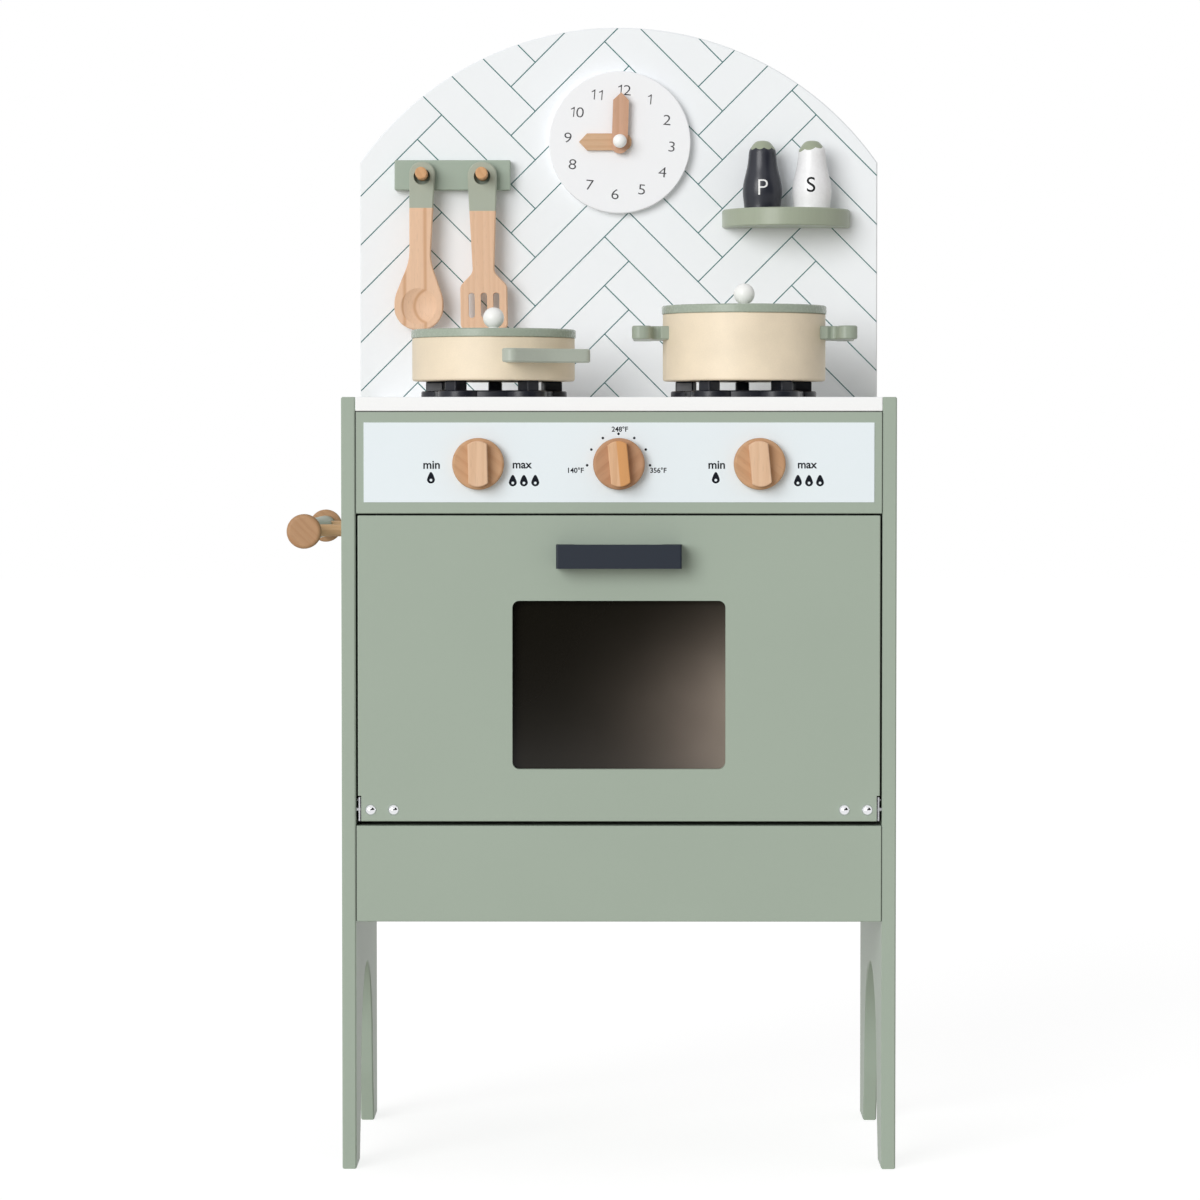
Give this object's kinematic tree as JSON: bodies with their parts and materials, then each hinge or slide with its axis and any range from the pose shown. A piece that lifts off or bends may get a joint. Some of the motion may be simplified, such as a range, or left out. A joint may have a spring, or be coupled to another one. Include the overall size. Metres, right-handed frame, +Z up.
{
  "type": "wooden toy kitchen",
  "caption": "Free-standing toy kitchen with a drop-down oven door, turning knobs, burners with pan and pot, clock, shelf, utensils and towel rail.",
  "frame": {"origin": "middle of the whole object's footprint, on the floor", "axes": "+X to the right and +Y to the rear as seen from the front, +Z up; the oven door faces -Y"},
  "size_m": [0.4754, 0.319, 0.9125],
  "materials": {
    "sage_paint": "satin paint on wood",
    "white_paint": "satin paint on wood",
    "tile_print": "white board with fine printed herringbone tile lines",
    "fascia": "pale sheet with printed knob marks",
    "charcoal_paint": "satin paint on wood",
    "burner": "dark grey moulding",
    "dark_window": "glossy smoked sheet",
    "cream_wood": "cream paint on wood",
    "pale_wood": "sealed wood",
    "tan_wood": "sealed wood",
    "grip_wood": "sealed wood",
    "hardboard": "thin board",
    "chrome": "bright plated",
    "steel": "zinc plated",
    "catch_plastic": "moulded"
  },
  "bodies": {
    "cabinet": {"left_side_panel": "sage_paint", "right_side_panel": "sage_paint", "worktop": "white_paint", "control_panel": "sage_paint", "control_fascia": "fascia", "kick_panel": "sage_paint", "oven_floor": "sage_paint", "rear_panel": "hardboard", "backsplash": "tile_print", "side_panel_screws": "steel", "back_screws": "steel", "burner_screws": "steel", "left_burner": "burner", "right_burner": "burner", "utensil_rail": "sage_paint", "utensil_pegs": "tan_wood", "clock_dial": "white_paint", "clock_pin": "white_paint", "spice_shelf": "sage_paint", "towel_rail_bar": "sage_paint", "towel_rail_discs": "tan_wood", "towel_rail_posts": "tan_wood", "hinge_pins": "steel", "door_stop_pins": "steel", "door_catch": "catch_plastic", "knob_washers": "steel"},
    "oven_door": {"door_panel": "sage_paint", "oven_window": "dark_window", "window_screws": "steel", "door_handle": "charcoal_paint", "door_handle_screws": "steel", "hinge_brackets": "steel", "hinge_bolts": "chrome", "hinge_nuts": "steel", "door_catch_plate": "steel"},
    "hour_hand": {"hour_hand": "grip_wood"},
    "minute_hand": {"minute_hand": "pale_wood"},
    "pan": {"pan_body": "cream_wood", "pan_handle": "sage_paint"},
    "pan_lid": {"pan_lid": "sage_paint", "pan_lid_knob": "white_paint"},
    "pot": {"pot_body": "cream_wood", "pot_handles": "sage_paint"},
    "pot_lid": {"pot_lid": "sage_paint", "pot_lid_knob": "white_paint"},
    "spoon": {"spoon": "pale_wood"},
    "spatula": {"spatula": "pale_wood"},
    "pepper_shaker": {"pepper_shaker": "charcoal_paint"},
    "salt_shaker": {"salt_shaker": "white_paint"},
    "left_knob": {"left_knob_disc": "tan_wood", "left_knob_grip": "grip_wood", "left_knob_axle": "steel"},
    "middle_knob": {"middle_knob_disc": "tan_wood", "middle_knob_grip": "grip_wood", "middle_knob_axle": "steel"},
    "right_knob": {"right_knob_disc": "tan_wood", "right_knob_grip": "grip_wood", "right_knob_axle": "steel"}
  },
  "joints": [
    {"name": "door_hinge", "type": "hinge", "parent": "cabinet", "child": "oven_door", "pos_m": [0.02075, -0.132, 0.28], "axis": [1, 0, 0], "range_deg": [0, 90]},
    {"name": "left_knob_turn", "type": "hinge", "parent": "cabinet", "child": "left_knob", "pos_m": [-0.08795, -0.1375, 0.5483], "axis": [0, 1, 0], "continuous": true},
    {"name": "middle_knob_turn", "type": "hinge", "parent": "cabinet", "child": "middle_knob", "pos_m": [0.02075, -0.1375, 0.5483], "axis": [0, 1, 0], "continuous": true},
    {"name": "right_knob_turn", "type": "hinge", "parent": "cabinet", "child": "right_knob", "pos_m": [0.12945, -0.1375, 0.5483], "axis": [0, 1, 0], "continuous": true},
    {"name": "hour_hand_turn", "type": "hinge", "parent": "cabinet", "child": "hour_hand", "pos_m": [0.02165, 0.1415, 0.8163], "axis": [0, 1, 0], "continuous": true},
    {"name": "minute_hand_turn", "type": "hinge", "parent": "cabinet", "child": "minute_hand", "pos_m": [0.02165, 0.1415, 0.8163], "axis": [0, 1, 0], "continuous": true},
    {"name": "pan_lift", "type": "slide", "parent": "cabinet", "child": "pan", "axis": [0, 0, 1], "range_m": [0, 0.2]},
    {"name": "pan_lid_lift", "type": "slide", "parent": "pan", "child": "pan_lid", "axis": [0, 0, 1], "range_m": [0, 0.1]},
    {"name": "pot_lift", "type": "slide", "parent": "cabinet", "child": "pot", "axis": [0, 0, 1], "range_m": [0, 0.2]},
    {"name": "pot_lid_lift", "type": "slide", "parent": "pot", "child": "pot_lid", "axis": [0, 0, 1], "range_m": [0, 0.1]},
    {"name": "spoon_unhook", "type": "slide", "parent": "cabinet", "child": "spoon", "axis": [0, -1, 0], "range_m": [0, 0.035]},
    {"name": "spatula_unhook", "type": "slide", "parent": "cabinet", "child": "spatula", "axis": [0, -1, 0], "range_m": [0, 0.035]},
    {"name": "pepper_lift", "type": "slide", "parent": "cabinet", "child": "pepper_shaker", "axis": [0, 0, 1], "range_m": [0, 0.1]},
    {"name": "salt_lift", "type": "slide", "parent": "cabinet", "child": "salt_shaker", "axis": [0, 0, 1], "range_m": [0, 0.1]}
  ]
}
